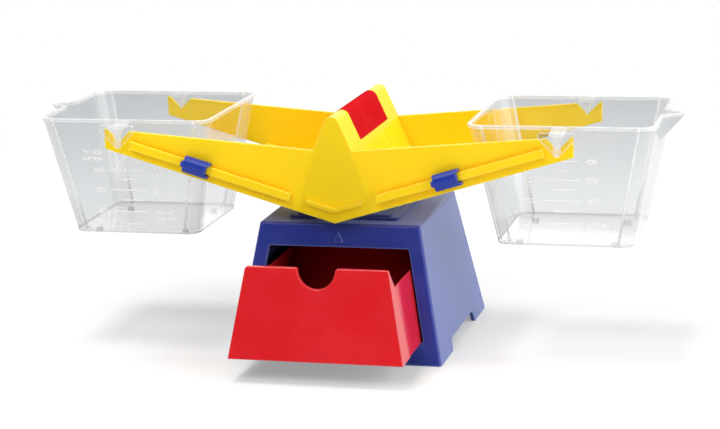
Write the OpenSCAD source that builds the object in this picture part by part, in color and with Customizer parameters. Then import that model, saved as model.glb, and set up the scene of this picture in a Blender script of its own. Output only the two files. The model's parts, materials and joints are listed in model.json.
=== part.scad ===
// Bucket balance: a trough-shaped beam tips on a steel axle, carries two hanging measuring
// buckets and two zero-setting sliders, and stands on a base with a counter drawer.
// Millimetres. The origin is the centre of the whole footprint, on the table, at rest.
// X runs along the beam, Y to the back, Z up. Rest pose: beam level, drawer part open.

/* [Base] */
// Width of the base at the table
base_w_bottom = 130; // [126:1:138]
// Width of the base at its top
base_w_top = 100; // [96:1:104]
// Depth of the base at the table
base_d_bottom = 132; // [128:1:138]
// Depth of the base at its top
base_d_top = 98; // [94:1:102]
// Height of the base
base_h = 82; // [80:0.5:82.5]
// Moulded wall thickness of the base
base_wall = 2.4; // [1.8:0.1:2.8]
// Edge rounding of the base
base_edge = 2; // [0.8:0.1:2.2]
// Height of the sill under the drawer
sill_h = 13.4; // [12.5:0.1:15]
// Height of the closed strip above the drawer
lintel_h = 14; // [13:0.5:18]
// Width of the strips beside the drawer
jamb_w = 8.9; // [8.5:0.1:11]
// Height of the cut-outs that leave corner feet
foot_h = 7.4; // [4:0.2:7.6]
// Length of the cut-outs along each side
foot_gap = 66; // [50:1:72]
// Thickness of the bottom plate
plate_t = 2.2; // [1.6:0.1:2.4]

/* [Drawer] */
// How far the drawer stands open at rest
drawer_out = 49; // [20:1:55]
// Room behind the drawer when it is shut
drawer_stop = 1.5; // [1:0.1:12]
// Gap round the drawer front
drawer_gap = 0.5; // [0.4:0.1:1]
// Thickness of the drawer front
drawer_front_t = 2.6; // [2:0.1:3.2]
// Thickness of the drawer walls and floor
drawer_wall = 1.8; // [1.4:0.1:2.4]
// Step from the top of the front down to the side walls
drawer_step = 12; // [8:0.5:15]
// Radius of the finger notch
notch_r = 11.5; // [8:0.5:14]

/* [Pivot] */
// Height of the axle
pivot_z = 134; // [133.5:0.1:134.5]
// Radius of the steel axle
axle_r = 2.5; // [2:0.1:2.6]
// Length of the steel axle
axle_len = 88; // [86:1:96]
// Running clearance of the beam on the axle, radial
bearing_gap = 0.05; // [0.02:0.01:0.1]
// Thickness of each upright of the pivot tower
cheek_t = 6.5; // [5.5:0.1:7]
// Outside distance across the two uprights
cheek_span = 73; // [70:0.5:74]
// Height of the tower's foot above the base
tower_foot_h = 3.4; // [2.4:0.1:3.6]

/* [Beam] */
// Outside distance across the two beam walls
beam_w = 115; // [114.6:0.1:118]
// Half length of the beam
beam_half = 144.2; // [143.6:0.1:148]
// Thickness of the beam walls
beam_wall = 2.2; // [1.8:0.1:2.4]
// Height of the lowest point of the beam
keel_z = 84; // [83.6:0.1:84.4]
// Height of the lower corner of each arm end
tip_low_z = 127; // [126:0.1:127.6]
// Height of the upper corner of each arm end
tip_top_z = 139.2; // [138.8:0.1:139.6]
// Height of the corner between arm and tent
root_z = 128.4; // [127.6:0.1:129.4]
// Half width of the tent at that corner
root_x = 12; // [11.9:0.1:12.4]
// Height of the tent ridge
ridge_z = 148.8; // [148.4:0.1:149.4]
// Radius of the tent ridge
ridge_r = 4.7; // [4.4:0.1:5]
// Thickness of the tent skin
skin_t = 2.4; // [2:0.1:2.5]
// Room between the trough floor and a bucket's rim
floor_room = 3.75; // [3:0.25:16]
// Half length of the grip cover
grip_half = 33; // [26:0.5:34]
// Thickness of the grip cover
grip_t = 1.5; // [1.2:0.1:1.6]

/* [Sliders] */
// Height of the rail head across its length
rail_h = 5; // [4.4:0.1:5.4]
// Distance of the rail above the lower edge of the arm
rail_up = 5.4; // [5.2:0.1:6]
// Start of the rail, measured along the lower edge
rail_from = 30; // [28:1:34]
// Distance from the end of the rail to the hanging point
rail_short = 8.8; // [8.8:0.1:15]
// Length of a slider
slider_len = 17.5; // [14:0.5:20]
// Clearance between slider and rail
slider_gap = 0.4; // [0.3:0.05:0.45]
// Place of the left slider, from 0 at the middle to 1 at the end of its rail
slider_left_place = 0.583; // [0.2:0.001:0.7]
// Place of the right slider, from 0 at the middle to 1 at the end of its rail
slider_right_place = 0.43; // [0.2:0.001:0.7]

/* [Buckets] */
// Distance from each hanging point to the end of the arm
hang_in = 9.2; // [8.8:0.1:10]
// Height of the hanging points
hang_z = 132.2; // [131.8:0.1:132.4]
// Length of the bucket rim
rim_l = 110.5; // [106:0.5:112]
// Width of the bucket rim
rim_w = 101.5; // [98:0.5:103]
// Length of the bucket bottom
bottom_l = 81.5; // [76:0.5:86]
// Width of the bucket bottom
bottom_w = 79; // [74:0.5:84]
// Height of the bucket
bucket_h = 74; // [70:0.5:76]
// Height of the rim above the hanging points
rim_up = 11.6; // [11.2:0.1:12.4]
// Wall thickness of the buckets
bucket_wall = 1.8; // [1.4:0.1:2]
// Corner radius of the buckets
bucket_r = 9; // [6:0.5:11]
// How far the pouring lip stands out
lip_out = 12; // [8:0.5:14]
// Width of the pouring lip
lip_w = 24; // [18:1:28]
// Width of the guard plate on each hanger
guard_w = 22; // [18:0.5:23]
// Radius of the hanger's knife edge
knife_r = 0.8; // [0.6:0.05:0.9]

/* [Hidden] */
$fn = 48;
eps = 0.01;
lean_x = (base_w_bottom - base_w_top) / 2 / base_h;
lean_y = (base_d_bottom - base_d_top) / 2 / base_h;
lean_ang = atan(lean_y);
side_ang = atan(lean_x);
open_top = base_h - lintel_h;
ceiling_z = base_h - base_wall;
plate_top = sill_h - 1.4;
drawer_z0 = sill_h + 0.4;
drawer_z1 = open_top - drawer_gap;
drawer_side_z = drawer_z1 - drawer_step;
drawer_back = base_half_d(drawer_side_z) - base_wall / cos(lean_ang) - drawer_stop;
drawer_set = 0.6;
notch_edge = 1.4;
post_x = base_half_w(plate_top) - 5.8;
post_y = base_half_d(plate_top) - 9;
post_r = 3;
post_h = 13;
screw_r = 1.5;
screw_bite = 8.8;
screw_room = 1.5;
head_r = 2.8;
head_t = 2;
cheek_mid = (cheek_span - cheek_t) / 2;
tower_screw_x = 7;
tower_w = 69;
tower_d = 78;
rib_t = 4;
rib_y = cheek_span / 2 + 1.5;
beam_y = beam_w / 2;
hang_x = beam_half - hang_in;
floor_end = hang_x - rim_l / 2 - floor_room;
arm_ang = atan((tip_low_z - keel_z) / beam_half);
tent_slope = (root_x - ridge_r * 0.9) / (ridge_z - ridge_r * 0.62 - root_z);
tent_ang = atan(tent_slope);
arm_rise = (tip_low_z - keel_z) / beam_half;
foot_x = (root_x + (root_z - keel_z) * tent_slope) / (1 + arm_rise * tent_slope);
foot_z = keel_z + foot_x * arm_rise + 0.9;
floor_t = 2.2;
rail_neck = 2;
rail_head = 1.8;
slider_front = rail_neck + rail_head + slider_gap + 3.2;
rail_mid = rail_up + rail_h / 2;
rail_edge = 2;
slider_tongue = 1.4;
slider_step = 1.5;
rail_to = (hang_x - rail_short + (rail_up + rail_h) * sin(arm_ang)) / cos(arm_ang);
slider_left_at = rail_from + slider_left_place * (rail_to - rail_from);
slider_right_at = rail_from + slider_right_place * (rail_to - rail_from);
bottom_up = rim_up - bucket_h;
hanger_in = rim_w / 2 - 1.4;
guard_in = beam_y + 1;
guard_t = 2;
knife_gap = 0.06;
stub_h = 2.6;
stub_r = 2.2;
stub_in = 12;
front_reach = base_half_d(drawer_z0) + drawer_out;
stand_y = (front_reach - base_d_bottom / 2) / 2;

function base_half_w(z) = base_w_bottom / 2 - lean_x * z;
function base_half_d(z) = base_d_bottom / 2 - lean_y * z;

// Shared helpers

// Every piece is drawn about the middle of the base and then set about the whole footprint
module placed() {
    translate([0, stand_y, 0])
        children();
}

// Turns a flat drawing of X and Z into a bar along Y, from y0 to y1
module along_y(y0, y1) {
    translate([0, y1, 0])
        rotate([90, 0, 0])
            linear_extrude(y1 - y0)
                children();
}

// Turns a flat drawing of Y and Z into a bar along X, centred
module along_x(len) {
    translate([-len / 2, 0, 0])
        rotate([90, 0, 90])
            linear_extrude(len)
                children();
}

module both_sides() {
    children();
    mirror([1, 0, 0])
        children();
}

module front_and_back() {
    children();
    mirror([0, 1, 0])
        children();
}

module round_rect(w, h, r) {
    square([w - 2 * r, h], center = true);
    square([w, h - 2 * r], center = true);
    for (x = [-1, 1], y = [-1, 1])
        translate([x * (w / 2 - r), y * (h / 2 - r)])
            circle(r);
}

// Four-sided outline that narrows upwards, with rounded upper corners
module trapezoid(half_low, half_high, z0, z1, r) {
    a = atan((half_low - half_high) / (z1 - z0));
    cx = half_high + r * tan(a) - r / cos(a);
    steps = 6;
    corner = [for (i = [0:steps])
        let (t = a + (90 - a) * i / steps)
        [cx + r * cos(t), z1 - r + r * sin(t)]];
    other = [for (i = [steps:-1:0]) [-corner[i][0], corner[i][1]]];
    polygon(concat([[-half_low, z0], [half_low, z0]], corner, other));
}

// Base

module base_block() {
    zt = base_h - base_edge;
    hull()
        for (x = [-1, 1], y = [-1, 1], z = [-6, zt])
            translate([x * (base_half_w(z) - base_edge / cos(side_ang)),
                       y * (base_half_d(z) - base_edge / cos(lean_ang)), z])
                sphere(base_edge, $fn = 24);
}

module base_inside() {
    in_x = base_wall / cos(side_ang);
    in_y = base_wall / cos(lean_ang);
    intersection() {
        along_y(-base_d_bottom, base_d_bottom)
            trapezoid(base_half_w(-2) - in_x, base_half_w(ceiling_z) - in_x, -2, ceiling_z, 2);
        along_x(2 * base_w_bottom)
            trapezoid(base_half_d(-2) - in_y, base_half_d(ceiling_z) - in_y, -2, ceiling_z, 2);
    }
}

module base_shell() {
    color([0.13, 0.15, 0.52])
    placed()
    difference() {
        union() {
            difference() {
                base_block();
                base_inside();
            }
            base_posts();
            base_pointer();
        }
        translate([0, 0, -base_h])
            cube([2 * base_w_bottom, 2 * base_d_bottom, 2 * base_h], center = true);
        along_y(-base_d_bottom, -base_half_d(base_h) + 12)
            trapezoid(base_half_w(sill_h) - jamb_w, base_half_w(open_top) - jamb_w, sill_h, open_top, 1.5);
        along_x(2 * base_w_bottom)
            trapezoid(foot_gap / 2, foot_gap / 2 - 3, -1, foot_h, 2);
        both_sides()
            front_and_back() {
                translate([post_x, post_y, plate_top - plate_t])
                    cylinder(h = plate_t + screw_bite + screw_room, r = screw_r);
                translate([tower_screw_x, cheek_mid, ceiling_z - base_wall])
                    cylinder(h = 3 * base_wall, r = screw_r + 0.2);
            }
    }
}

// Screw posts for the bottom plate, beside the drawer
module base_posts() {
    both_sides()
        front_and_back()
            translate([post_x, post_y, plate_top])
                cylinder(h = post_h, r = post_r);
}

// Small raised arrow over the drawer
module base_pointer() {
    zc = base_h - 11.6;
    translate([0, -base_half_d(zc) + 1, zc])
        rotate([90 - lean_ang, 0, 0])
            linear_extrude(1.6)
                polygon([[-3.1, 0], [3.1, 0], [0, 6.8]]);
}

// Plate that closes the base from below and carries the drawer
module base_floor() {
    edge = base_wall + 0.5;
    color([0.13, 0.15, 0.52])
    placed()
    difference() {
        union() {
            translate([0, 0, plate_top - plate_t / 2])
                cube([2 * base_half_w(plate_top) - 2 * edge, 2 * base_half_d(plate_top) - 2 * edge, plate_t],
                     center = true);
            for (x = [-34, 34])
                translate([x, 0, (plate_top + sill_h) / 2 - eps])
                    cube([5, 2 * base_half_d(sill_h) - 2 * edge - 8, sill_h - plate_top + eps], center = true);
        }
        both_sides()
            front_and_back()
                translate([post_x, post_y, plate_top - 2 * plate_t])
                    cylinder(h = 3 * plate_t, r = screw_r + 0.2);
    }
}

module screw(len) {
    translate([0, 0, -head_t])
        difference() {
            cylinder(h = head_t, r = head_r);
            translate([0, 0, -eps])
                cube([0.9, 3.4, 2], center = true);
            translate([0, 0, -eps])
                cube([3.4, 0.9, 2], center = true);
        }
    translate([0, 0, -eps])
        cylinder(h = len, r = screw_r);
}

module floor_screws() {
    color([0.7, 0.71, 0.72])
    placed()
    both_sides()
        front_and_back()
            translate([post_x, post_y, plate_top - plate_t])
                screw(plate_t + screw_bite);
}

// Pivot

module pivot_tower() {
    top_r = axle_r + 3.1;
    step_z = base_h + tower_foot_h;
    low_x = 12.4;
    color([0.13, 0.15, 0.52])
    placed()
    difference() {
        union() {
            translate([0, 0, base_h])
                linear_extrude(tower_foot_h * 0.6)
                    round_rect(tower_w, tower_d, 3);
            translate([0, 0, base_h])
                linear_extrude(tower_foot_h)
                    round_rect(tower_w - 9, tower_d - 2, 3);
            front_and_back()
                along_y(cheek_mid - cheek_t / 2, cheek_mid + cheek_t / 2) {
                    polygon([[-low_x, base_h + 1], [low_x, base_h + 1], [low_x, step_z],
                             [top_r, pivot_z], [-top_r, pivot_z], [-low_x, step_z]]);
                    translate([0, pivot_z])
                        circle(top_r);
                }
            along_y(-cheek_mid, cheek_mid)
                polygon([[-2, base_h + 1], [2, base_h + 1], [2, pivot_z - 22], [-2, pivot_z - 22]]);
        }
        along_y(-cheek_span, cheek_span)
            translate([0, pivot_z])
                circle(axle_r);
        both_sides()
            front_and_back()
                translate([tower_screw_x, cheek_mid, base_h - screw_room])
                    cylinder(h = screw_bite + 2 * screw_room, r = screw_r);
    }
}

module tower_screws() {
    color([0.7, 0.71, 0.72])
    placed()
    both_sides()
        front_and_back()
            translate([tower_screw_x, cheek_mid, ceiling_z])
                screw(base_wall + screw_bite);
}

module pivot_axle() {
    color([0.75, 0.76, 0.78])
    placed()
    along_y(-axle_len / 2, axle_len / 2)
        translate([0, pivot_z])
            circle(axle_r);
}

// Beam

// Solid outline of the tent, drawn from its foot to the ridge; "in" moves it inwards
module tent_outline(in) {
    zc = ridge_z - ridge_r;
    r = ridge_r - in;
    steps = 16;
    px = r * cos(tent_ang);
    pz = zc + r * sin(tent_ang);
    low_x = px + (pz - foot_z) * tan(tent_ang);
    ridge = [for (i = [0:steps])
        let (a = tent_ang + (180 - 2 * tent_ang) * i / steps)
        [r * cos(a), zc + r * sin(a)]];
    polygon(concat([[-low_x, foot_z], [low_x, foot_z]], ridge));
}

// Outline of the front and back walls
module wall_outline() {
    polygon([[0, keel_z], [beam_half, tip_low_z], [beam_half, tip_top_z],
             [root_x, root_z], [-root_x, root_z],
             [-beam_half, tip_top_z], [-beam_half, tip_low_z]]);
    tent_outline(0);
}

// V in which a bucket hangs, with a round seat for the knife edge
module hang_notch() {
    r = knife_r + knife_gap;
    low = 0.6 * r;
    translate([hang_x, hang_z]) {
        circle(r);
        polygon([[-low, -low], [low, -low], [12 + low, 12 - low], [-12 - low, 12 - low]]);
    }
}

module beam_wall_sheet() {
    difference() {
        wall_outline();
        both_sides()
            hang_notch();
    }
}

// Places a drawing of length and height on the lower edge of the right arm's front
module on_arm() {
    translate([0, -beam_y, keel_z])
        rotate([0, -arm_ang, 0])
            children();
}

// T-shaped rail, whose head has a rounded upper corner at the inner end
module rail() {
    translate([rail_from, -rail_neck - eps, rail_up + 1])
        cube([rail_to - rail_from, rail_neck + 2 * eps, rail_h - 2]);
    translate([rail_from, 0, rail_up])
        along_y(-rail_neck - rail_head, -rail_neck)
            difference() {
                square([rail_to - rail_from, rail_h]);
                difference() {
                    translate([-1, rail_h - rail_edge])
                        square([1 + rail_edge, 1 + rail_edge]);
                    translate([rail_edge, rail_h - rail_edge])
                        circle(rail_edge);
                }
            }
}

module chevron() {
    low = keel_z + 6.6;
    along_y(-beam_y - 1.6, -beam_y + eps)
        polygon([[0, low], [17, low + 4.9], [17, low + 7.8], [0, low + 2.9],
                 [-17, low + 7.8], [-17, low + 4.9]]);
}

// Floor between the walls, from the foot of the tent outwards
module trough_floor() {
    x0 = foot_x - skin_t;
    z0 = keel_z + 0.6;
    along_y(-beam_y + beam_wall / 2, beam_y - beam_wall / 2)
        polygon([[x0, z0 + x0 * arm_rise], [floor_end, z0 + floor_end * arm_rise],
                 [floor_end, z0 + floor_end * arm_rise + floor_t], [x0, z0 + x0 * arm_rise + floor_t]]);
}

// Cross ribs inside the tent that sit on the axle
module bearing_ribs() {
    difference() {
        front_and_back()
            along_y(rib_y, rib_y + rib_t)
                intersection() {
                    tent_outline(skin_t / 2);
                    translate([-40, pivot_z - 9])
                        square([80, 40]);
                }
        along_y(-beam_y, beam_y)
            translate([0, pivot_z]) {
                circle(axle_r + bearing_gap);
                translate([-axle_r - bearing_gap, -20])
                    square([2 * (axle_r + bearing_gap), 20]);
            }
    }
}

module beam() {
    color([0.98, 0.80, 0.10])
    placed()
    union() {
        front_and_back()
            along_y(-beam_y, -beam_y + beam_wall)
                beam_wall_sheet();
        difference() {
            along_y(-beam_y + beam_wall / 2, beam_y - beam_wall / 2)
                difference() {
                    tent_outline(0);
                    tent_outline(skin_t);
                }
            grip_recess();
        }
        both_sides()
            trough_floor();
        bearing_ribs();
        both_sides()
            on_arm()
                rail();
        chevron();
    }
}

// Seat for the grip cover: a shallow recess with a window through its middle
module grip_recess() {
    along_y(-grip_half - 0.2, grip_half + 0.2)
        difference() {
            translate([-30, root_z + 2])
                square([60, 40]);
            tent_outline(grip_t - 0.3);
        }
    along_y(-grip_half + 5, grip_half - 5)
        translate([-30, pivot_z + 3])
            square([60, 40]);
}

module grip_cover() {
    color([0.86, 0.10, 0.13])
    placed()
    along_y(-grip_half, grip_half)
        difference() {
            tent_outline(-0.3);
            tent_outline(grip_t - 0.35);
            translate([-40, 0])
                square([80, root_z + 2.4]);
        }
}

// Sliders

// Section of a slider: height across the rail, and depth away from the beam, with a bowed front
module slider_section() {
    back = 0.6;
    lip = 2.5;
    bow_r = 7;
    difference() {
        intersection() {
            translate([-(slider_front + back) / 2, rail_mid])
                round_rect(slider_front - back, rail_h + 2 * lip, 2.2);
            translate([bow_r - slider_front, rail_mid])
                circle(bow_r);
        }
        translate([-rail_neck - rail_head - slider_gap, rail_up - slider_gap])
            square([rail_head + 2 * slider_gap, rail_h + 2 * slider_gap]);
        translate([-rail_neck, rail_up + 1 - slider_gap])
            square([rail_neck, rail_h - 2 + 2 * slider_gap]);
    }
}

// One end keeps only a short tongue of the front plate, and at the other end the lips outreach
// the plate. "way" is 1 where the tongue is on the inner end and -1 where it is on the outer end.
module slider(at, way) {
    half = slider_len / 2;
    on_arm()
        translate([at, 0, 0])
            difference() {
                translate([-half, 0, 0])
                    rotate([90, 0, 90])
                        linear_extrude(slider_len)
                            slider_section();
                for (s = [-1, 1])
                    translate([-way * (half - slider_tongue / 2 + 1), -5, rail_mid + s * 6.7])
                        cube([slider_tongue + 2, 20, 10], center = true);
                translate([way * (half - slider_step / 2 + 1), -5, rail_mid])
                    cube([slider_step + 2, 20, 6.4], center = true);
            }
}

module slider_left() {
    color([0.16, 0.22, 0.68])
    placed()
    mirror([1, 0, 0])
        slider(slider_left_at, -1);
}

module slider_right() {
    color([0.16, 0.22, 0.68])
    placed()
    slider(slider_right_at, 1);
}

// Buckets, drawn from the hanging point of the right one

module tapered_box(l0, w0, l1, w1, z0, z1, r0, r1) {
    hull() {
        for (x = [-1, 1], y = [-1, 1]) {
            translate([x * (l0 / 2 - r0), y * (w0 / 2 - r0), z0])
                cylinder(h = eps, r = r0, $fn = 32);
            translate([x * (l1 / 2 - r1), y * (w1 / 2 - r1), z1 - eps])
                cylinder(h = eps, r = r1, $fn = 32);
        }
    }
}

// Pouring lip as a solid; "in" shrinks it for the inside
module pouring_lip(in, top) {
    x0 = rim_l / 2 - 1;
    hull() {
        for (y = [-1, 1])
            translate([x0 - 3, y * (lip_w / 2 - in * 1.3), rim_up - 1 - in])
                cylinder(h = 1 + in + top, r = 0.5, $fn = 16);
        translate([x0 + lip_out - in * 1.4, 0, rim_up - 1 - in])
            cylinder(h = 1 + in + top, r = 1, $fn = 24);
        translate([x0 - 6 - in * 0.6, 0, rim_up - 21 + in])
            cylinder(h = 1, r = 0.5, $fn = 16);
    }
}

// Guard plate with a pointed lower edge and rounded upper corners
module guard_outline(low, top) {
    r = 1.8;
    w = guard_w / 2;
    right = [for (a = [0:15:90]) [w - r + r * cos(a), top - r + r * sin(a)]];
    left = [for (a = [90:15:180]) [r - w + r * cos(a), top - r + r * sin(a)]];
    polygon(concat([[-w, low], [-1, -4.4], [1, -4.4], [w, low]], right, left));
}

module hanger() {
    gy = guard_in + guard_t;
    low = 6.2;
    top = 9.6;
    // bridge over the arm
    translate([-4.5, hanger_in, 7.6])
        cube([9, gy - hanger_in, top - 7.6]);
    // guard plate outside the arm
    along_y(guard_in, gy)
        guard_outline(low, top);
    // knife edge resting in the notch
    along_y(beam_y - beam_wall - 1, guard_in + eps) {
        circle(knife_r);
        polygon([[-knife_r, 0.1], [knife_r, 0.1], [2.1, 7.7], [-2.1, 7.7]]);
    }
}

module bucket() {
    t = bucket_wall;
    lean_l = (rim_l - bottom_l) / 2 / bucket_h;
    lean_w = (rim_w - bottom_w) / 2 / bucket_h;
    union() {
        difference() {
            union() {
                tapered_box(bottom_l, bottom_w, rim_l, rim_w, bottom_up, rim_up, bucket_r - 1, bucket_r);
                pouring_lip(0, 0);
                translate([0, 0, rim_up - 1.8])
                    linear_extrude(1.8)
                        round_rect(rim_l + 1, rim_w + 1, bucket_r + 0.5);
            }
            tapered_box(bottom_l - 2 * t + 2 * lean_l * t, bottom_w - 2 * t + 2 * lean_w * t,
                        rim_l - 2 * t + 2 * lean_l, rim_w - 2 * t + 2 * lean_w,
                        bottom_up + t, rim_up + 1, bucket_r - 1 - t, bucket_r - t);
            pouring_lip(t, 2);
        }
        front_and_back()
            hanger();
        for (x = [-1, 1], y = [-1, 1])
            translate([x * (bottom_l / 2 - stub_in), y * (bottom_w / 2 - stub_in), bottom_up - stub_h])
                cylinder(h = stub_h + eps, r = stub_r);
    }
}

module bucket_right() {
    color([0.86, 0.92, 0.95, 0.35])
    placed()
    translate([hang_x, 0, hang_z])
        bucket();
}

module bucket_left() {
    color([0.86, 0.92, 0.95, 0.35])
    placed()
    translate([-hang_x, 0, hang_z])
        mirror([1, 0, 0])
            bucket();
}

// Drawer, drawn closed and then moved out

function drawer_half(z) = base_half_w(z) - jamb_w - drawer_gap;

module finger_notch() {
    r = notch_edge;
    translate([0, drawer_z1 - 0.6])
        circle(notch_r);
    difference() {
        translate([-notch_r - r, drawer_z1 - r])
            square([2 * (notch_r + r), r + 1]);
        for (s = [-1, 1])
            translate([s * (notch_r + r), drawer_z1 - r])
                circle(r);
    }
}

module drawer() {
    front_in = drawer_front_t / cos(lean_ang);
    gusset = 7;
    shoulder = front_in + gusset - base_half_d(drawer_side_z);
    color([0.86, 0.12, 0.15])
    placed()
    translate([0, -drawer_out, 0])
        union() {
            // front panel with its finger notch
            intersection() {
                along_y(-base_d_bottom, base_d_bottom)
                    difference() {
                        trapezoid(drawer_half(drawer_z0), drawer_half(drawer_z1), drawer_z0, drawer_z1, 2);
                        finger_notch();
                    }
                along_x(2 * base_w_bottom)
                    polygon([[-base_half_d(0), 0], [-base_half_d(0) + front_in, 0],
                             [-base_half_d(base_h) + front_in, base_h], [-base_half_d(base_h), base_h]]);
            }
            // sides and floor, set in behind the shoulder
            intersection() {
                difference() {
                    union() {
                        along_y(-base_d_bottom, shoulder)
                            trapezoid(drawer_half(drawer_z0), drawer_half(drawer_z1), drawer_z0, drawer_z1, 0.6);
                        along_y(shoulder - 1, drawer_back)
                            trapezoid(drawer_half(drawer_z0) - drawer_set, drawer_half(drawer_z1) - drawer_set,
                                      drawer_z0, drawer_z1, 0.6);
                    }
                    along_y(-base_d_bottom - 1, drawer_back + 1)
                        trapezoid(drawer_half(drawer_z0) - drawer_wall, drawer_half(base_h) - drawer_wall,
                                  drawer_z0 + drawer_wall, base_h, 0.6);
                }
                along_x(2 * base_w_bottom)
                    polygon([[-base_half_d(drawer_z0) + 0.5, drawer_z0], [drawer_back, drawer_z0],
                             [drawer_back, drawer_side_z],
                             [-base_half_d(drawer_side_z) + front_in + gusset, drawer_side_z],
                             [-base_half_d(drawer_z1 - 2.5) + front_in, drawer_z1 - 2.5],
                             [-base_half_d(drawer_z1 - 2.5) + 0.5, drawer_z1 - 2.5]]);
            }
            // back wall
            along_y(drawer_back - drawer_wall, drawer_back)
                trapezoid(drawer_half(drawer_z0) - drawer_set, drawer_half(drawer_side_z) - drawer_set,
                          drawer_z0, drawer_side_z, 0.6);
        }
}

base_shell();
base_floor();
floor_screws();
pivot_tower();
tower_screws();
pivot_axle();
beam();
grip_cover();
slider_left();
slider_right();
bucket_left();
bucket_right();
drawer();
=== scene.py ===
"""Finishes, moulded marks and studio for the bucket balance."""

import json
import math

import bmesh
import bpy
from mathutils import Matrix, Vector


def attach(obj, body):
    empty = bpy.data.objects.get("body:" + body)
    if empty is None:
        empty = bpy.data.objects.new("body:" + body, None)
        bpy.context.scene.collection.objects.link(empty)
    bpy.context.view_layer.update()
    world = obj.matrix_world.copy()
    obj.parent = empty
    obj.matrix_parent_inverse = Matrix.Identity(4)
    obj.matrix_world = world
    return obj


bl_info = {
    "name": "Bucket Balance",
    "version": (1, 0, 0),
    "blender": (4, 5, 0),
    "location": "3D View > Sidebar > Balance",
    "description": "Finishes, moulded marks and studio for a bucket balance",
    "category": "Object",
}

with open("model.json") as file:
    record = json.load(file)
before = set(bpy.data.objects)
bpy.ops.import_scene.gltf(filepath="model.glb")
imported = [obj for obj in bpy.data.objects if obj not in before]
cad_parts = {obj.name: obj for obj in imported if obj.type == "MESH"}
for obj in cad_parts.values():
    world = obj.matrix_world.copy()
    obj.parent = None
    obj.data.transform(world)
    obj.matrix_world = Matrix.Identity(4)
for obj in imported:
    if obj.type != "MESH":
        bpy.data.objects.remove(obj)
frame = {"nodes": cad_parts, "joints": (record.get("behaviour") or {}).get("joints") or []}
NODES = frame["nodes"]
JOINTS = {joint["name"]: joint for joint in frame["joints"]}
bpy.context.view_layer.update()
PIVOT = Vector(JOINTS["beam_tilt"]["pos_m"])
HANG = {
    "left": Vector(JOINTS["bucket_left_swing"]["pos_m"]),
    "right": Vector(JOINTS["bucket_right_swing"]["pos_m"]),
}

# Outline of the tent's end faces, as it shows in the beam's walls, and how far their shading leans
TENT_FOOT = 0.012
TENT_TOP = 0.1284
TENT_SPREAD = 0.32
TENT_LEAN = -0.2

# Bucket walls; heights are measured from the hanging point
RIM_UP = 0.0116
RIM_TOP = HANG["left"].z + RIM_UP
RIM_BAND = 0.0024
RIM_FADE = 0.0008
BUCKET_HEIGHT = 0.074
HALF_RIM = 0.05075
HALF_BOTTOM = 0.0395
HALF_RIM_LENGTH = 0.05525
HALF_BOTTOM_LENGTH = 0.04075
CORNER = 0.009
# CREST is the width of the corners' soft start and of the highlight lines painted along them
CREST = 0.0012
CREST_FADE = 0.0008

# Hangers of the buckets: the bridge that joins them to the wall, and the knife edge below it
HANGER_OUT = 0.0506
BRIDGE_HALF = 0.0048
BRIDGE_UP = 0.0072
BRIDGE_FADE = 0.0004
KNIFE_HALF = 0.0025
KNIFE_UP = 0.008
KNIFE_FADE = 0.0005

# Heights under which the clear plastic turns greyer, and under which its lowest edge begins
LOW_UP = -0.035
LOW_FADE = 0.02
FOOT_UP = -0.0606
FOOT_FADE = 0.0006

# Height of each graduation from the hanging point, and the millilitres between two of them
MARK_HEIGHTS = (-0.0563, -0.0482, -0.0407, -0.0340, -0.0270, -0.0212, -0.0151, -0.0095)
MARK_STEP = 50
LONG_LINE_SHIFT = -0.0008
SHORT_LINE_SHIFT = 0.0004
UPRIGHT_COLUMN = 0.0145
MIRRORED_COLUMN = -0.0155
NUMERAL_DROP = 0.34
LINE_END_STEPS = 6
LINE_SHOULDER = 0.6
LINE_SHOULDER_INSET = 0.2

# Studio
IMAGE_WIDTH = 720
SENSOR_WIDTH = 36.0
CLIP_START = 0.05
CLIP_END = 60.0
FLOOR_HALF = 8.0
FLOOR_DROP = -0.0002
LAMP_AIM = Vector((0, 0, 0.08))
LAMP_PLACES = {
    "top": ((-0.35, 0.0, 1.5), (0.5, 0.4)),
    "key": ((1.9, -0.3, 0.95), (2.8, 1.7)),
    "fill": ((-0.45, -1.25, 1.45), (1.3, 1.0)),
    "back": ((0.2, 1.7, 1.1), (2.2, 1.2)),
}
# The pale grey painted into the floor and the world as shade where they are seen through the clear
# plastic
GREY_SHADE_THROUGH_PLASTIC = (0.545, 0.57, 0.588)
BLACK = (0, 0, 0)
WHITE = (1, 1, 1)


class Sock:
    """An output socket that takes part in Python arithmetic by adding nodes."""

    def __init__(self, finish, socket):
        self.finish = finish
        self.socket = socket

    def _math(self, operation, first, second=None):
        inputs = {0: first} if second is None else {0: first, 1: second}
        return self.finish.node("ShaderNodeMath", {"operation": operation}, inputs)

    def __add__(self, other):
        return self._math("ADD", self, other)

    __radd__ = __add__

    def __sub__(self, other):
        return self._math("SUBTRACT", self, other)

    def __rsub__(self, other):
        return self._math("SUBTRACT", other, self)

    def __mul__(self, other):
        return self._math("MULTIPLY", self, other)

    def __truediv__(self, other):
        return self._math("DIVIDE", self, other)

    def __pow__(self, other):
        return self._math("POWER", self, other)

    def __abs__(self):
        return self._math("ABSOLUTE", self)

    def clamp(self, low=0.0, high=1.0):
        return self._math("MINIMUM", self._math("MAXIMUM", self, low), high)

    def smooth(self, start, end):
        """0 below start, 1 above end, with a soft step between."""
        return self.finish.node(
            "ShaderNodeMapRange",
            {"interpolation_type": "SMOOTHSTEP"},
            {"Value": self, "From Min": start, "From Max": end},
        )


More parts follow.
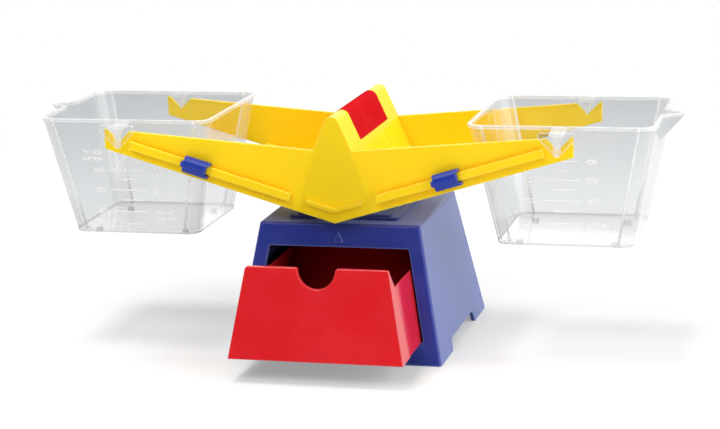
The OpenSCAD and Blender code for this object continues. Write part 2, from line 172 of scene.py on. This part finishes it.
class Finish:
    """The nodes of a material or world under construction."""

    def __init__(self, owner):
        self.owner = owner
        owner.use_nodes = True
        self.tree = owner.node_tree
        self.tree.nodes.clear()

    def feed(self, socket, value):
        """Links a socket to another one's output, or sets its value."""
        if isinstance(value, Sock):
            self.tree.links.new(value.socket, socket)
        else:
            socket.default_value = value

    def node(self, kind, settings=None, inputs=None, out=0):
        """Adds any node: its settings first, then the values or links of its sockets."""
        made = self.tree.nodes.new(kind)
        for name, value in (settings or {}).items():
            setattr(made, name, value)
        for name, value in (inputs or {}).items():
            self.feed(made.inputs[name], value)
        return Sock(self, made.outputs[out])

    def place(self):
        """Position on the piece itself, which stays put when the piece moves."""
        return self.node("ShaderNodeTexCoord", out="Object")

    def stretched(self, scale):
        return self.node("ShaderNodeMapping", None, {"Vector": self.place(), "Scale": scale})

    def split(self, vector):
        """The three parts of a vector."""
        node = self.node("ShaderNodeSeparateXYZ", None, {"Vector": vector}).socket.node
        return [Sock(self, output) for output in node.outputs]

    def axes(self):
        return self.split(self.place())

    def upward(self):
        """The upward part of the normal on the piece itself: 1 on a level top face."""
        return self.split(self.node("ShaderNodeTexCoord", out="Normal"))[2]

    def rays(self):
        """The kinds of light ray, by name."""
        node = self.node("ShaderNodeLightPath").socket.node
        return {output.name: Sock(self, output) for output in node.outputs}

    def noise(self, scale, detail=3.0, roughness=0.5, vector=None):
        return self.node(
            "ShaderNodeTexNoise",
            None,
            {
                "Vector": vector or self.place(),
                "Scale": scale,
                "Detail": detail,
                "Roughness": roughness,
            },
        )

    def mix(self, factor, first, second):
        """Mixes two colours."""
        made = self.tree.nodes.new("ShaderNodeMix")
        made.data_type = "RGBA"
        # The sockets of all data types share one list: 6 and 7 are the colours, output 2 their mix
        for index, value in ((0, factor), (6, first), (7, second)):
            self.feed(made.inputs[index], value)
        return Sock(self, made.outputs[2])

    def rounded(self, radius):
        """The normal of a surface whose edges are rounded to a radius."""
        return self.node("ShaderNodeBevel", {"samples": 6}, {"Radius": radius})

    def edge(self, radius):
        """1 along the sharp edges, 0 on the faces."""
        flat = self.node("ShaderNodeNewGeometry", out="Normal")
        along = self.node(
            "ShaderNodeVectorMath",
            {"operation": "DOT_PRODUCT"},
            {0: flat, 1: self.rounded(radius)},
            "Value",
        )
        return (1.0 - along).smooth(0.01, 0.12)

    def open_share(self, reach, inside=False, alone=True):
        """1 on an open face, lower in a crease within reach, or inside a solid along its outer edges."""
        return self.node(
            "ShaderNodeAmbientOcclusion",
            {"samples": 8, "inside": inside, "only_local": alone},
            {"Distance": reach},
            "AO",
        )

    def bump(self, height, strength, distance, normal=None):
        inputs = {"Height": height, "Strength": strength, "Distance": distance}
        if normal is not None:
            inputs["Normal"] = normal
        return self.node("ShaderNodeBump", None, inputs)

    def surface(self, **inputs):
        named = {name.replace("_", " "): value for name, value in inputs.items()}
        return self.node("ShaderNodeBsdfPrincipled", None, named)

    def done(self, shader, kind="ShaderNodeOutputMaterial"):
        out = self.tree.nodes.new(kind)
        self.tree.links.new(shader.socket, out.inputs["Surface"])
        return self.owner


def new_finish(name):
    return Finish(bpy.data.materials.new(name))


def rgba(colour, gain=1.0):
    return (colour[0] * gain, colour[1] * gain, colour[2] * gain, 1.0)


def shift_towards(colour, other, share):
    return tuple(a + (b - a) * share for a, b in zip(colour, other))


def moulded(
        name, colour, deep, pale, roughness, shine, grain, edge,
        tilt=None, hollow=None, shade=None, reach=0.0022,
        glow=0.0, sheen=0.0, sheen_tint=WHITE, top=None):
    """Moulded plastic: rounded edges with a painted highlight, painted shade in the creases, soft flow
    marks, fine grain, uneven gloss.

    pale is the colour of the painted highlight on the edges, tilt turns the normal, hollow is how deep
    an inside has to be to be painted dark as shade, shade is the colour of the painted shade in the
    creases within reach, glow spreads light under the skin, and top is a reflection colour painted on
    the level faces.
    """
    finish = new_finish(name)
    rounded = finish.rounded(edge)
    flow = finish.noise(
        9.0, detail=4.0, roughness=0.55, vector=finish.stretched((1.0, 1.0, 2.6))).smooth(0.3, 0.72)
    cloud = finish.noise(42.0, detail=2.0).smooth(0.35, 0.7)
    body = finish.mix(flow, rgba(deep), rgba(colour))
    body = finish.mix(cloud * 0.12, body, rgba(shift_towards(colour, WHITE, 0.05)))
    # Painted highlight: the pale colour along the rounded edges
    edge_highlight = (1.0 - finish.open_share(edge, inside=True)).smooth(0.12, 0.42)
    body = finish.mix(edge_highlight * 0.5, body, rgba(pale))
    # Painted shade in the creases within reach, in the shade colour or a darker tone of the plastic
    crease_shade = (1.0 - finish.open_share(reach)).smooth(0.15, 0.6)
    body = finish.mix(crease_shade * 0.5, body, rgba(shade) if shade else rgba(deep, 0.6))
    # Painted shade: deep insides, the drawer's among them, are painted nearly black
    if hollow:
        recess_shade = 1.0 - finish.open_share(hollow, alone=False).smooth(0.22, 0.66)
        recess_shade_colour = shift_towards(deep, (0.004, 0.004, 0.004), 0.97)
        body = finish.mix(recess_shade * 0.97, body, rgba(recess_shade_colour))
    fine = finish.noise(1500.0, detail=2.0, roughness=0.6)
    wavy = finish.noise(60.0, detail=1.0, roughness=0.4)
    gloss = roughness + (cloud - 0.5) * 0.05 + (fine - 0.5) * 0.04
    # Painted reflection: the level top faces take the top colour, a lilac tint, and are made rougher
    if top:
        level = finish.upward().smooth(0.9, 0.98)
        body = finish.mix(level * 0.8, body, rgba(top))
        gloss = gloss + level * 0.3
    height = fine * 0.3 + wavy
    normal = tilt(finish, rounded) if tilt else rounded
    relief = finish.bump(height, strength=grain, distance=0.0005, normal=normal)
    return finish.done(
        finish.surface(
            Base_Color=body,
            Roughness=gloss,
            Normal=relief,
            Specular_IOR_Level=shine,
            IOR=1.5,
            Subsurface_Weight=glow,
            Subsurface_Radius=(1.0, 0.35, 0.05),
            Subsurface_Scale=0.004,
            Sheen_Weight=sheen,
            Sheen_Roughness=0.5,
            Sheen_Tint=rgba(sheen_tint),
        )
    )


def gable_tilt(finish, normal):
    """Turns the tent's end faces slightly down, with a soft fold where they meet the arms."""
    x, _, z = finish.axes()
    edge = TENT_FOOT + (TENT_TOP - z) * TENT_SPREAD
    inside = (edge - abs(x)).smooth(-0.0015, 0.003)
    upright = abs(finish.split(normal)[1]).smooth(0.6, 0.95)
    lean = finish.node("ShaderNodeCombineXYZ", None, {"Z": inside * upright * TENT_LEAN})
    turned = finish.node("ShaderNodeVectorMath", {"operation": "ADD"}, {0: normal, 1: lean})
    return finish.node("ShaderNodeVectorMath", {"operation": "NORMALIZE"}, {0: turned})


def clear_plastic(name, tint, milk):
    """Clear moulded plastic: mirrors at a glance, milky where it is thick, painted highlights along its
    edges and corners, faint flow ripples.
    """
    finish = new_finish(name)
    x, y, z = finish.axes()
    ripple = finish.noise(38.0, detail=2.0)
    streak = finish.noise(
        16.0, roughness=0.6, vector=finish.stretched((1.0, 1.0, 3.0))).smooth(0.35, 0.75)
    relief = finish.bump(ripple, strength=0.05, distance=0.0005)
    facing = finish.node(
        "ShaderNodeLayerWeight", None, {"Blend": 0.5, "Normal": relief}, out="Facing")
    shadow = finish.rays()["Is Shadow Ray"]
    mirror = (0.018 + facing ** 5.0 * 0.9) * (1.0 - shadow)

    # Where on the bucket: up from the hanging point, and how far past the start of a round corner
    rim = z.smooth(RIM_TOP - RIM_BAND, RIM_TOP - RIM_BAND + RIM_FADE)
    up = z - HANG["left"].z
    length = abs(abs(x) - HANG["right"].x)
    width = abs(y - HANG["left"].y)
    fall = (RIM_UP - up) / BUCKET_HEIGHT
    along = length - (HALF_RIM_LENGTH - CORNER) + fall * (HALF_RIM_LENGTH - HALF_BOTTOM_LENGTH)
    aside = width - (HALF_RIM - CORNER) + fall * (HALF_RIM - HALF_BOTTOM)
    corner = along.smooth(-CREST, 0.0) * aside.smooth(-CREST, 0.0)
    # Painted highlight: two milky lines along the two edges of each rounded corner
    corner_highlight_lines = corner * (
        (CREST - abs(along)).smooth(0.0, CREST_FADE) + (CREST - abs(aside)).smooth(0.0, CREST_FADE))
    bridge = (
        (width - HANGER_OUT).smooth(0.0, BRIDGE_FADE)
        * (BRIDGE_HALF - length).smooth(0.0, BRIDGE_FADE)
        * up.smooth(BRIDGE_UP, BRIDGE_UP + BRIDGE_FADE)
    )
    knife = (
        (KNIFE_HALF - length).smooth(0.0, KNIFE_FADE)
        * (width - HANGER_OUT).smooth(0.0, BRIDGE_FADE)
        * (KNIFE_UP - up).smooth(0.0, KNIFE_FADE)
    )
    low = (LOW_UP - up).smooth(0.0, LOW_FADE)
    flat = abs(finish.upward())
    foot = (FOOT_UP - up).smooth(0.0, FOOT_FADE) * (1.0 - flat.smooth(0.5, 0.9))

    # How milky the plastic is there, with milky lines painted as highlights along the edges and the
    # corners; the lower half throws a stronger shadow
    cloudy = (
        rim * 0.3
        # Milky edges: partly the plastic's own milkiness, partly a painted highlight
        + finish.edge(0.0006) * 0.75
        + corner * 0.1
        + corner_highlight_lines * 0.35
        + bridge * 0.4
        + knife * 0.25
        + foot * 0.5
        + streak * 0.02
        + shadow * (0.01 + low * 0.75)
        + 0.005
    ).clamp()
    through = finish.node("ShaderNodeBsdfTransparent", None, {"Color": rgba(tint)})
    pale = finish.mix(streak, rgba(milk, 0.96), rgba(milk))
    skin = finish.surface(
        Base_Color=finish.mix(low, pale, rgba(milk, 0.62)),
        Roughness=streak * 0.1 + 0.2,
        Normal=relief,
    )
    body = finish.node("ShaderNodeMixShader", None, {0: cloudy, 1: through, 2: skin})
    gloss = finish.node(
        "ShaderNodeBsdfGlossy", None, {"Color": rgba(WHITE), "Roughness": 0.06, "Normal": relief})
    return finish.done(finish.node("ShaderNodeMixShader", None, {0: mirror, 1: body, 2: gloss}))


def drawn_steel(name, colour):
    """Bright drawn steel with fine lines round the axle."""
    finish = new_finish(name)
    lines = finish.noise(
        900.0, detail=2.0, roughness=0.6, vector=finish.stretched((1.0, 0.04, 1.0)))
    body = finish.mix(lines, rgba(colour, 0.82), rgba(colour))
    return finish.done(
        finish.surface(
            Base_Color=body,
            Metallic=1.0,
            Roughness=lines * 0.15 + 0.2,
            Normal=finish.bump(lines, strength=0.1, distance=0.0003),
        )
    )


def frosted(name, colour):
    """Raised marks with a satin, slightly milky skin."""
    finish = new_finish(name)
    speck = finish.noise(700.0, detail=2.0, roughness=0.6)
    body = finish.mix(speck.smooth(0.3, 0.7), rgba(colour, 0.93), rgba(colour))
    return finish.done(
        finish.surface(
            Base_Color=body,
            Roughness=speck * 0.1 + 0.35,
            Normal=finish.bump(speck, strength=0.1, distance=0.0002),
        )
    )


def paint(material, *names):
    for name in names:
        piece = NODES[name]
        piece.data.materials.clear()
        piece.data.materials.append(material)


class FinishSettings(bpy.types.PropertyGroup):
    """Colours of the moulded pieces."""

    base_blue: bpy.props.FloatVectorProperty(
        name="Base blue", description="Colour of the base and the pivot tower",
        subtype="COLOR", default=(0.02, 0.034, 0.275), min=0, max=1)
    beam_yellow: bpy.props.FloatVectorProperty(
        name="Beam yellow", description="Colour of the beam",
        subtype="COLOR", default=(0.98, 0.69, 0.012), min=0, max=1)
    red: bpy.props.FloatVectorProperty(
        name="Red", description="Colour of the drawer and the grip cover",
        subtype="COLOR", default=(0.70, 0.012, 0.018), min=0, max=1)
    slider_blue: bpy.props.FloatVectorProperty(
        name="Slider blue", description="Colour of the sliders",
        subtype="COLOR", default=(0.016, 0.04, 0.33), min=0, max=1)
    clear: bpy.props.FloatVectorProperty(
        name="Clear tint", description="Tint of the clear buckets",
        subtype="COLOR", default=(0.988, 0.99, 0.991), min=0, max=1)
    milk: bpy.props.FloatVectorProperty(
        name="Milky rim", description="Colour of the clear plastic where it is thick",
        subtype="COLOR", default=(0.93, 0.94, 0.95), min=0, max=1)
    steel: bpy.props.FloatVectorProperty(
        name="Steel", description="Colour of the axle and the screws",
        subtype="COLOR", default=(0.62, 0.63, 0.65), min=0, max=1)
    mark: bpy.props.FloatVectorProperty(
        name="Mark", description="Colour of the raised graduations",
        subtype="COLOR", default=(0.95, 0.95, 0.95), min=0, max=1)


class MarkSettings(bpy.types.PropertyGroup):
    """Sizes of the graduations on the buckets."""

    line: bpy.props.FloatProperty(
        name="Line", description="Thickness of a graduation line",
        unit="LENGTH", default=0.00055, min=0.0001)
    long_line: bpy.props.FloatProperty(
        name="Long line", description="Length of a line at each hundred",
        unit="LENGTH", default=0.0235, min=0.005)
    short_line: bpy.props.FloatProperty(
        name="Short line", description="Length of a line between the hundreds",
        unit="LENGTH", default=0.0125, min=0.005)
    numeral: bpy.props.FloatProperty(
        name="Numeral", description="Height of the numerals",
        unit="LENGTH", default=0.0046, min=0.001)
    relief: bpy.props.FloatProperty(
        name="Relief", description="How far the marks stand proud",
        unit="LENGTH", default=0.00018, min=0.00005)


class StudioSettings(bpy.types.PropertyGroup):
    """Camera and light."""

    azimuth: bpy.props.FloatProperty(
        name="Azimuth", description="Camera angle round the object",
        subtype="ANGLE", default=math.radians(15.31))
    elevation: bpy.props.FloatProperty(
        name="Elevation", description="Camera angle above the horizon",
        subtype="ANGLE", default=math.radians(13.27))
    roll: bpy.props.FloatProperty(
        name="Roll", description="Camera roll",
        subtype="ANGLE", default=math.radians(-2.0))
    distance: bpy.props.FloatProperty(
        name="Distance", description="Distance from the camera to its aim",
        unit="LENGTH", default=1.29168)
    aim_height: bpy.props.FloatProperty(
        name="Aim height", description="Height that the camera aims at",
        unit="LENGTH", default=0.07598)
    focal_pixels: bpy.props.FloatProperty(
        name="Focal length", description="Focal length in pixels of the picture", default=2065.0)
    top: bpy.props.FloatProperty(
        name="Top light", description="Power of the large light overhead",
        unit="POWER", default=10.0)
    key: bpy.props.FloatProperty(
        name="Key light", description="Power of the light from the right",
        unit="POWER", default=45.0)
    fill: bpy.props.FloatProperty(
        name="Fill light", description="Power of the light from the front",
        unit="POWER", default=14.5)
    back: bpy.props.FloatProperty(
        name="Back light", description="Power of the light from behind",
        unit="POWER", default=12.0)
    ambient: bpy.props.FloatProperty(
        name="Ambient", description="Strength of the light from all round", default=0.2)


GROUPS = (
    ("balance_finish", FinishSettings),
    ("balance_marks", MarkSettings),
    ("balance_studio", StudioSettings),
)


class BALANCE_OT_base(bpy.types.Operator):
    """Finish the base, its bottom plate and the pivot tower"""

    bl_idname = "balance.base"
    bl_label = "Base"

    def execute(self, context):
        blue = tuple(context.scene.balance_finish.base_blue)
        plastic = moulded(
            "base_blue",
            blue,
            deep=shift_towards(blue, BLACK, 0.12),
            pale=shift_towards(blue, (0.35, 0.45, 1), 0.45),
            roughness=0.12,
            shine=0.26,
            grain=0.04,
            edge=0.0013,
            sheen=1.0,
            sheen_tint=(0.42, 0.55, 1.0),
            # Painted reflection: a lilac tint on the base's level top faces
            top=(0.09, 0.05, 0.46),
        )
        paint(plastic, "base_shell", "base_floor", "pivot_tower")
        return {"FINISHED"}


class BALANCE_OT_metal(bpy.types.Operator):
    """Finish the steel axle and the screws"""

    bl_idname = "balance.metal"
    bl_label = "Metal"

    def execute(self, context):
        steel = drawn_steel("steel", tuple(context.scene.balance_finish.steel))
        paint(steel, "pivot_axle", "tower_screws", "floor_screws")
        return {"FINISHED"}


class BALANCE_OT_beam(bpy.types.Operator):
    """Finish the beam"""

    bl_idname = "balance.beam"
    bl_label = "Beam"

    def execute(self, context):
        yellow = tuple(context.scene.balance_finish.beam_yellow)
        plastic = moulded(
            "beam_yellow",
            yellow,
            deep=(yellow[0] * 0.98, yellow[1] * 0.95, yellow[2]),
            pale=(1.0, 0.84, 0.16),
            roughness=0.26,
            shine=0.05,
            grain=0.05,
            edge=0.0009,
            tilt=gable_tilt,
            # Orange painted shade in the beam's creases
            shade=(0.95, 0.53, 0.006),
            reach=0.006,
            glow=0.3,
        )
        paint(plastic, "beam")
        return {"FINISHED"}


class BALANCE_OT_red_pieces(bpy.types.Operator):
    """Finish the drawer and the grip cover"""

    bl_idname = "balance.red_pieces"
    bl_label = "Drawer and grip cover"

    def execute(self, context):
        red = tuple(context.scene.balance_finish.red)
        drawer = moulded(
            "drawer_red",
            red,
            deep=shift_towards(red, BLACK, 0.08),
            pale=shift_towards(red, (1, 0.3, 0.3), 0.25),
            roughness=0.12,
            shine=0.5,
            grain=0.04,
            edge=0.0008,
            # The drawer's inside is painted dark as shade
            hollow=0.06,
        )
        paint(drawer, "drawer")
        dark = shift_towards(red, BLACK, 0.18)
        grip = moulded(
            "grip_red",
            dark,
            deep=shift_towards(dark, BLACK, 0.1),
            pale=red,
            roughness=0.32,
            shine=0.0,
            grain=0.06,
            edge=0.0006,
        )
        paint(grip, "grip_cover")
        return {"FINISHED"}


class BALANCE_OT_sliders(bpy.types.Operator):
    """Finish the two zero-setting sliders"""

    bl_idname = "balance.sliders"
    bl_label = "Sliders"

    def execute(self, context):
        blue = tuple(context.scene.balance_finish.slider_blue)
        plastic = moulded(
            "slider_blue",
            blue,
            deep=shift_towards(blue, BLACK, 0.12),
            pale=shift_towards(blue, (0.5, 0.65, 1), 0.25),
            roughness=0.1,
            shine=0.26,
            grain=0.03,
            edge=0.0009,
        )
        paint(plastic, "slider_left", "slider_right")
        return {"FINISHED"}


class BALANCE_OT_buckets(bpy.types.Operator):
    """Finish the clear buckets"""

    bl_idname = "balance.buckets"
    bl_label = "Buckets"

    def execute(self, context):
        colours = context.scene.balance_finish
        plastic = clear_plastic("clear", tuple(colours.clear), tuple(colours.milk))
        paint(plastic, "bucket_left", "bucket_right")
        return {"FINISHED"}


def wall_half_depth(height):
    """Outside half depth of a bucket at a height measured from its hanging point."""
    share = (RIM_UP - height) / BUCKET_HEIGHT
    return HALF_RIM + (HALF_BOTTOM - HALF_RIM) * share


def add_bar(mesh, centre, length, thick, relief):
    """A raised line with rounded ends and bevelled shoulders."""
    rings = []
    shoulder = thick * LINE_SHOULDER_INSET
    for inset, level in ((0.0, 0.0), (0.0, relief * LINE_SHOULDER), (shoulder, relief)):
        ring = []
        radius = thick / 2 - inset
        for end, start in ((1, -90), (-1, 90)):
            for step in range(LINE_END_STEPS + 1):
                turn = math.radians(start + step * 180 / LINE_END_STEPS)
                ring.append(mesh.verts.new((
                    centre[0] + end * (length - thick) / 2 + radius * math.cos(turn),
                    centre[1] + radius * math.sin(turn),
                    level,
                )))
        rings.append(ring)
    for low, high in zip(rings, rings[1:]):
        for i in range(len(low)):
            j = (i + 1) % len(low)
            mesh.faces.new((low[i], low[j], high[j], high[i]))
    mesh.faces.new(rings[-1])
    mesh.faces.new(rings[0][::-1])


def add_numeral(mesh, body, corner, size, relief, mirrored):
    """A raised numeral; a mirrored one reads correctly through the opposite wall."""
    text = bpy.data.curves.new("numeral", "FONT")
    text.body = body
    text.size = size
    text.resolution_u = 3
    text.extrude = relief / 2
    text.space_line = 0.82
    holder = bpy.data.objects.new("numeral", text)
    bpy.context.scene.collection.objects.link(holder)
    bpy.context.view_layer.update()
    evaluated = holder.evaluated_get(bpy.context.evaluated_depsgraph_get())
    outline = bpy.data.meshes.new_from_object(evaluated)
    flip = Matrix.Diagonal((-1 if mirrored else 1, 1, 1, 1))
    outline.transform(Matrix.Translation((corner[0], corner[1], relief / 2)) @ flip)
    if mirrored:
        outline.flip_normals()
    mesh.from_mesh(outline)
    bpy.data.objects.remove(holder)
    bpy.data.curves.remove(text)
    bpy.data.meshes.remove(outline)


def mark_sheet(settings):
    """All graduations of one wall, drawn flat about the hanging point, and how far the wall leans.

    The unit is written out at the lowest upright numeral and at the highest mirrored one.
    """
    sheet = bmesh.new()
    lean = math.atan((HALF_RIM - HALF_BOTTOM) / BUCKET_HEIGHT)
    for index, height in enumerate(MARK_HEIGHTS):
        up = height / math.cos(lean)
        hundred = index % 2 == 1
        length = settings.long_line if hundred else settings.short_line
        shift = LONG_LINE_SHIFT if hundred else SHORT_LINE_SHIFT
        add_bar(sheet, (shift, up), length, settings.line, settings.relief)
        if hundred:
            amount = str((index + 1) * MARK_STEP)
            unit = amount + " ml\napprox."
            upright = unit if index == 1 else amount
            turned = unit if index == len(MARK_HEIGHTS) - 1 else amount
            low = up - settings.numeral * NUMERAL_DROP
            for words, column, mirrored in (
                    (upright, UPRIGHT_COLUMN, False), (turned, MIRRORED_COLUMN, True)):
                corner = (column, low)
                add_numeral(sheet, words, corner, settings.numeral, settings.relief, mirrored)
    return sheet, lean


class BALANCE_OT_graduations(bpy.types.Operator):
    """Add the raised millilitre marks to the front wall of each bucket"""

    bl_idname = "balance.graduations"
    bl_label = "Graduations"

    def execute(self, context):
        settings = context.scene.balance_marks
        skin = frosted("graduation", tuple(context.scene.balance_finish.mark))
        for side, hang in HANG.items():
            sheet, lean = mark_sheet(settings)
            data = bpy.data.meshes.new(f"bucket_{side}_marks")
            sheet.to_mesh(data)
            sheet.free()
            stand = Matrix.Rotation(math.pi / 2 + lean, 4, "X")
            wall = hang - Vector((0, wall_half_depth(0.0), 0))
            data.transform(Matrix.Translation(wall) @ stand)
            data.materials.append(skin)
            piece = bpy.data.objects.new(f"bucket_{side}_marks", data)
            context.scene.collection.objects.link(piece)
            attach(piece, f"bucket_{side}")
        return {"FINISHED"}


class BALANCE_OT_studio(bpy.types.Operator):
    """Add the floor, the light and the camera"""

    bl_idname = "balance.studio"
    bl_label = "Studio"

    def floor(self, context):
        """White paper that keeps the shadows near the balance, is plain white further off, and is
        painted pale grey as shade where it is seen through the clear plastic.
        """
        sheet = bmesh.new()
        bmesh.ops.create_grid(sheet, x_segments=1, y_segments=1, size=FLOOR_HALF)
        data = bpy.data.meshes.new("studio_floor")
        sheet.to_mesh(data)
        sheet.free()
        piece = bpy.data.objects.new("studio_floor", data)
        piece.location.z = FLOOR_DROP
        context.scene.collection.objects.link(piece)
        finish = new_finish("studio_floor")
        paper = finish.noise(3.0)
        colour = finish.mix(paper, rgba((0.86, 0.86, 0.86)), rgba((0.88, 0.88, 0.88)))
        seen = finish.rays()
        mirrored = seen["Is Glossy Ray"] + seen["Is Transmission Ray"]
        x, y, _ = finish.axes()
        reach = (x * x + y * y) ** 0.5
        away = reach.smooth(0.3, 0.75)
        # Painted shade: pale grey where the floor is seen through the clear plastic
        layers = seen["Transparent Depth"].smooth(0.0, 2.0)
        plastic_shade = layers * (0.4 + reach.smooth(0.25, 1.1) * 0.6)
        matt = finish.node(
            "ShaderNodeBsdfDiffuse",
            None,
            {"Color": finish.mix(plastic_shade, colour, rgba(GREY_SHADE_THROUGH_PLASTIC))},
        )
        glow = finish.mix(plastic_shade, rgba(WHITE), rgba(GREY_SHADE_THROUGH_PLASTIC))
        light = finish.node("ShaderNodeEmission", None, {"Color": glow, "Strength": 1.0})
        share = (seen["Is Camera Ray"] * (0.3 + away * 0.7) + mirrored * 0.85).clamp()
        both = finish.node("ShaderNodeMixShader", None, {0: share, 1: matt, 2: light})
        data.materials.append(finish.done(both))

    def world(self, context, settings):
        """White backdrop where it is seen or mirrored, painted pale grey as shade where seen through the
        clear plastic; a dim room with a brighter ceiling for light.
        """
        world = bpy.data.worlds.new("studio")
        context.scene.world = world
        room = Finish(world)
        seen = room.rays()
        _, across, height = room.split(room.node("ShaderNodeTexCoord", out="Generated"))
        backdrop = across.smooth(-0.25, 0.2)
        white = (
            seen["Is Camera Ray"]
            + seen["Is Transmission Ray"]
            + seen["Is Glossy Ray"] * backdrop
        ).clamp()
        # Painted shade: pale grey where the backdrop is seen through the clear plastic
        layers = seen["Transparent Depth"].smooth(0.0, 2.0)
        white = white * (1.0 - layers * (1.0 - GREY_SHADE_THROUGH_PLASTIC[1]))
        dim = (height.smooth(0.3, 0.8) * 1.2 + 0.5) * settings.ambient
        strength = dim + (1.0 - dim) * white
        sky = room.node("ShaderNodeBackground", None, {"Color": rgba(WHITE), "Strength": strength})
        room.done(sky, "ShaderNodeOutputWorld")

    def lamp(self, context, name, place, size, power):
        data = bpy.data.lights.new(name, "AREA")
        data.shape = "RECTANGLE"
        data.size, data.size_y = size
        data.energy = power
        lamp = bpy.data.objects.new(name, data)
        lamp.location = place
        lamp.rotation_euler = (LAMP_AIM - Vector(place)).to_track_quat("-Z", "Y").to_euler()
        lamp.visible_camera = False
        context.scene.collection.objects.link(lamp)

    def camera(self, context, settings):
        data = bpy.data.cameras.new("camera")
        data.sensor_width = SENSOR_WIDTH
        data.lens = SENSOR_WIDTH * settings.focal_pixels / IMAGE_WIDTH
        data.clip_start, data.clip_end = CLIP_START, CLIP_END
        turn = (
            Matrix.Rotation(settings.azimuth, 4, "Z")
            @ Matrix.Rotation(math.pi / 2 - settings.elevation, 4, "X")
            @ Matrix.Rotation(settings.roll, 4, "Z")
        )
        aim = Matrix.Translation((0.0, PIVOT.y, settings.aim_height))
        camera = bpy.data.objects.new("camera", data)
        camera.matrix_world = aim @ turn @ Matrix.Translation((0, 0, settings.distance))
        context.scene.collection.objects.link(camera)
        context.scene.camera = camera

    def execute(self, context):
        settings = context.scene.balance_studio
        self.floor(context)
        self.world(context, settings)
        for name, (place, size) in LAMP_PLACES.items():
            self.lamp(context, name, place, size, getattr(settings, name))
        self.camera(context, settings)
        context.scene.view_settings.view_transform = "Standard"
        return {"FINISHED"}


class BALANCE_PT_panel(bpy.types.Panel):
    """Lists the settings and the pieces of the balance"""

    bl_idname = "BALANCE_PT_panel"
    bl_label = "Bucket Balance"
    bl_space_type = "VIEW_3D"
    bl_region_type = "UI"
    bl_category = "Balance"

    def draw(self, context):
        for group, kind in GROUPS:
            box = self.layout.box()
            for name in kind.__annotations__:
                box.prop(getattr(context.scene, group), name)
        for operator in OPERATORS:
            self.layout.operator(operator.bl_idname)


OPERATORS = (
    BALANCE_OT_base,
    BALANCE_OT_metal,
    BALANCE_OT_beam,
    BALANCE_OT_red_pieces,
    BALANCE_OT_sliders,
    BALANCE_OT_buckets,
    BALANCE_OT_graduations,
    BALANCE_OT_studio,
)


def register():
    for name, group in GROUPS:
        bpy.utils.register_class(group)
        setattr(bpy.types.Scene, name, bpy.props.PointerProperty(type=group))
    for kind in OPERATORS + (BALANCE_PT_panel,):
        bpy.utils.register_class(kind)


def unregister():
    for kind in reversed(OPERATORS + (BALANCE_PT_panel,)):
        bpy.utils.unregister_class(kind)
    for name, group in reversed(GROUPS):
        delattr(bpy.types.Scene, name)
        bpy.utils.unregister_class(group)


def main():
    register()
    bpy.ops.balance.base()
    bpy.ops.balance.metal()
    bpy.ops.balance.beam()
    bpy.ops.balance.red_pieces()
    bpy.ops.balance.sliders()
    bpy.ops.balance.buckets()
    bpy.ops.balance.graduations()
    bpy.ops.balance.studio()


if __name__ == "__main__":
    main()
